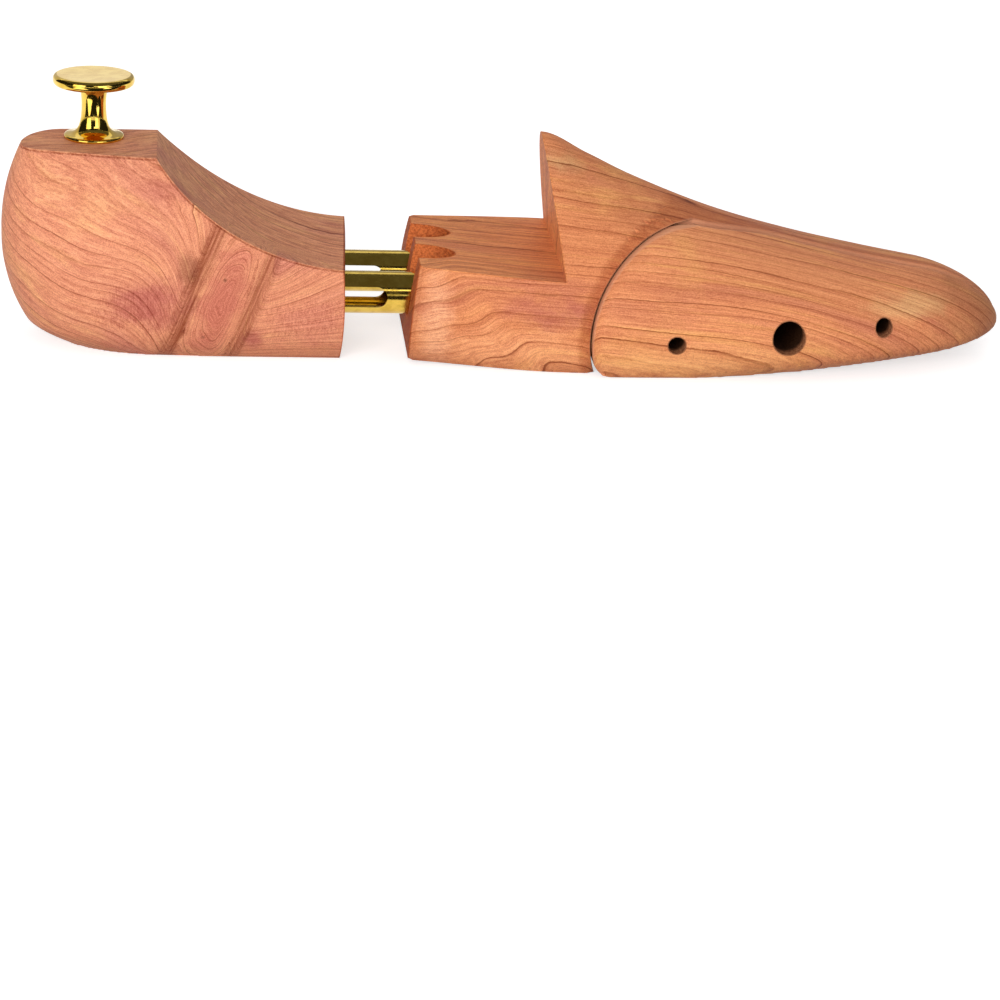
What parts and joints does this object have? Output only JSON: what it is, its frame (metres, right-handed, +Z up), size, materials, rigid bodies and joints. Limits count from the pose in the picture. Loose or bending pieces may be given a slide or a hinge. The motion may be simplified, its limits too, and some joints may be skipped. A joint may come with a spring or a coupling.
{
  "type": "shoe tree",
  "caption": "Wooden shoe tree: a heel block with a turned knob slides and folds up on sprung tubes set in a forepart, whose split toe has a sprung wing on one side.",
  "frame": {"origin": "on the plane the tree stands on, below the centre of its bounding box", "axes": "+X along the shoe towards the toe, -Y towards the side that has the toe wing, +Z up from the sole"},
  "size_m": [0.2976, 0.0826, 0.0763],
  "materials": {
    "cedar_forepart": "bare aromatic cedar, sanded smooth",
    "cedar_wing": "bare aromatic cedar, sanded smooth",
    "cedar_heel": "bare aromatic cedar, sanded smooth",
    "tube_brass": "polished",
    "knob_brass": "polished",
    "pin_steel": "drawn wire, plain",
    "spring_steel": "zinc-plated spring wire"
  },
  "bodies": {
    "forepart_body": {"forepart": "cedar_forepart", "fold_pin": "pin_steel", "toe_guide_rear": "pin_steel", "toe_guide_front": "pin_steel", "toe_spring_rear": "spring_steel", "toe_spring_front": "spring_steel"},
    "tubes_body": {"tube_near": "tube_brass", "tube_far": "tube_brass"},
    "heel_body": {"heel_block": "cedar_heel", "heel_cross_pin": "pin_steel", "heel_spring_near": "spring_steel", "heel_spring_far": "spring_steel", "knob": "knob_brass", "knob_screw": "pin_steel"},
    "wing_body": {"toe_wing": "cedar_wing"}
  },
  "joints": [
    {"name": "heel_fold", "type": "hinge", "parent": "forepart_body", "child": "tubes_body", "pos_m": [-0.01425, 0.00175, 0.0168], "axis": [0, 1, 0], "range_deg": [0, 45]},
    {"name": "heel_slide", "type": "slide", "parent": "tubes_body", "child": "heel_body", "axis": [1, 0, 0], "range_m": [0, 0.013], "stiffness_N_per_m": 1500, "springref_m": -0.01, "deforming": ["heel_spring_near", "heel_spring_far"]},
    {"name": "toe_press", "type": "slide", "parent": "forepart_body", "child": "wing_body", "axis": [0, 1, 0], "range_m": [0, 0.0035], "stiffness_N_per_m": 3000, "springref_m": -0.003, "deforming": ["toe_spring_rear", "toe_spring_front"]}
  ]
}
